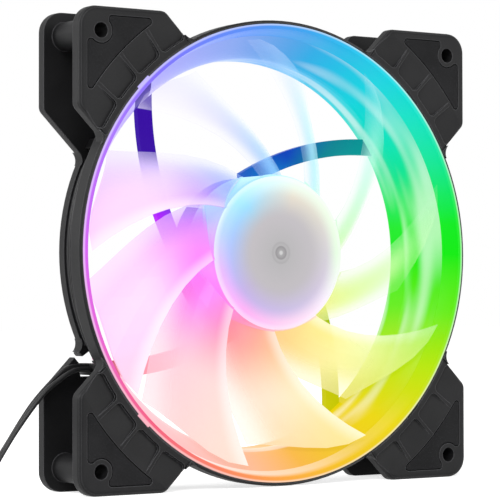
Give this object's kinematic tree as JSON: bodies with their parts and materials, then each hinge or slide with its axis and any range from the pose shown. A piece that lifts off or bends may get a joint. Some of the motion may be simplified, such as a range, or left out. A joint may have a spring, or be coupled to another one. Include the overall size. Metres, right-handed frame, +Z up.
{
  "type": "case fan",
  "caption": "Lit 140 mm class case fan with a translucent impeller and ring, a black corner-eared frame, and two coiled leads.",
  "frame": {"origin": "middle of the frame, on the shaft axis, halfway between the intake and exhaust faces", "axes": "+Z up as the fan stands on edge, -Y out of the intake face, +Y out of the exhaust face, +X to the right seen from the intake"},
  "size_m": [0.2193, 0.0358, 0.1386],
  "materials": {
    "frame_plastic": "fine textured",
    "pad_rubber": "fine sanded",
    "frosted_plastic": "clear, lightly frosted",
    "strip_plastic": "smooth",
    "mount_plastic": "tinted, smooth",
    "board": "solder mask",
    "dark_plastic": "smooth",
    "brass": "satin",
    "steel": "satin",
    "copper": "enamelled wire",
    "label": "blank",
    "cable_jacket": "fine ribbed",
    "magnet": "bonded ferrite"
  },
  "bodies": {
    "frame": {"outer_frame": "frame_plastic", "front_pads": "pad_rubber", "rear_pads": "pad_rubber", "light_ring": "frosted_plastic", "led_strip": "strip_plastic", "led_chips": "strip_plastic", "inner_duct": "frosted_plastic", "motor_mount": "mount_plastic", "motor_board": "board", "board_chips": "dark_plastic", "bearing_tube": "brass", "bearing_sleeve": "brass", "oil_seal": "pad_rubber", "thrust_pad": "strip_plastic", "stator_core": "steel", "coil_bobbins": "strip_plastic", "stator_coils": "copper", "rear_label": "label", "motor_ribbon": "cable_jacket", "lead_gland": "dark_plastic", "wire_outlet": "dark_plastic", "ring_wires": "cable_jacket", "fan_lead": "cable_jacket", "light_lead": "cable_jacket", "fan_lead_coil": "cable_jacket", "light_lead_coil": "cable_jacket", "fan_coil_tie": "dark_plastic", "light_coil_tie": "dark_plastic", "fan_plug": "dark_plastic", "fan_plug_contacts": "brass", "light_plug": "dark_plastic", "light_plug_contacts": "brass"},
    "rotor": {"impeller": "frosted_plastic", "rotor_yoke": "steel", "magnet_ring": "magnet", "shaft": "steel", "shaft_clip": "steel"}
  },
  "joints": [
    {"name": "impeller_spin", "type": "hinge", "parent": "frame", "child": "rotor", "pos_m": [0, 0, 0], "axis": [0, -1, 0], "continuous": true}
  ]
}
